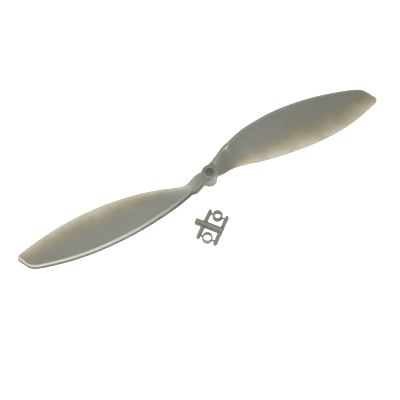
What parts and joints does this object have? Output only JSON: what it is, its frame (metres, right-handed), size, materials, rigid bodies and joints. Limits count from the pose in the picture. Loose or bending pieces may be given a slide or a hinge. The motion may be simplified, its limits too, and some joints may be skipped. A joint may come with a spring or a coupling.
{
  "type": "propeller",
  "caption": "Slow-flyer propeller with slender twisted blades, a bored hub, and a set of shaft adapter rings on their moulding frame.",
  "frame": {"origin": "centre of the adapter recess's mouth, on the back face of the hub, which lies on the table", "axes": "+Z along the bore towards the front (pull) side, +X along blade_1, whose leading edge faces +Y"},
  "size_m": [0.3048, 0.072, 0.0202],
  "materials": {
    "propeller_nylon": "satin grey-olive glass-filled nylon, slightly translucent at thin edges",
    "adapter_nylon": "satin dark grey-olive nylon"
  },
  "bodies": {
    "adapter_frame": {"sprue_runner": "adapter_nylon", "sprue_arm_5mm_inner": "adapter_nylon", "sprue_arm_5mm_outer": "adapter_nylon", "sprue_arm_6mm_inner": "adapter_nylon", "sprue_arm_6mm_outer": "adapter_nylon", "gate_5mm_inner": "adapter_nylon", "gate_5mm_outer": "adapter_nylon", "gate_6mm_inner": "adapter_nylon", "gate_6mm_outer": "adapter_nylon"},
    "propeller": {"hub": "propeller_nylon", "blade_1": "propeller_nylon", "blade_2": "propeller_nylon"},
    "ring_5mm": {"adapter_ring_5mm": "adapter_nylon"},
    "ring_6mm": {"adapter_ring_6mm": "adapter_nylon"}
  },
  "joints": [
    {"name": "propeller_spin", "type": "hinge", "parent": "adapter_frame", "child": "propeller", "pos_m": [0, 0, 0], "axis": [0, 0, 1], "continuous": true},
    {"name": "ring_5mm_lift", "type": "slide", "parent": "adapter_frame", "child": "ring_5mm", "axis": [0, 0, 1], "range_m": [0, 0.012]},
    {"name": "ring_6mm_lift", "type": "slide", "parent": "adapter_frame", "child": "ring_6mm", "axis": [0, 0, 1], "range_m": [0, 0.012]}
  ]
}
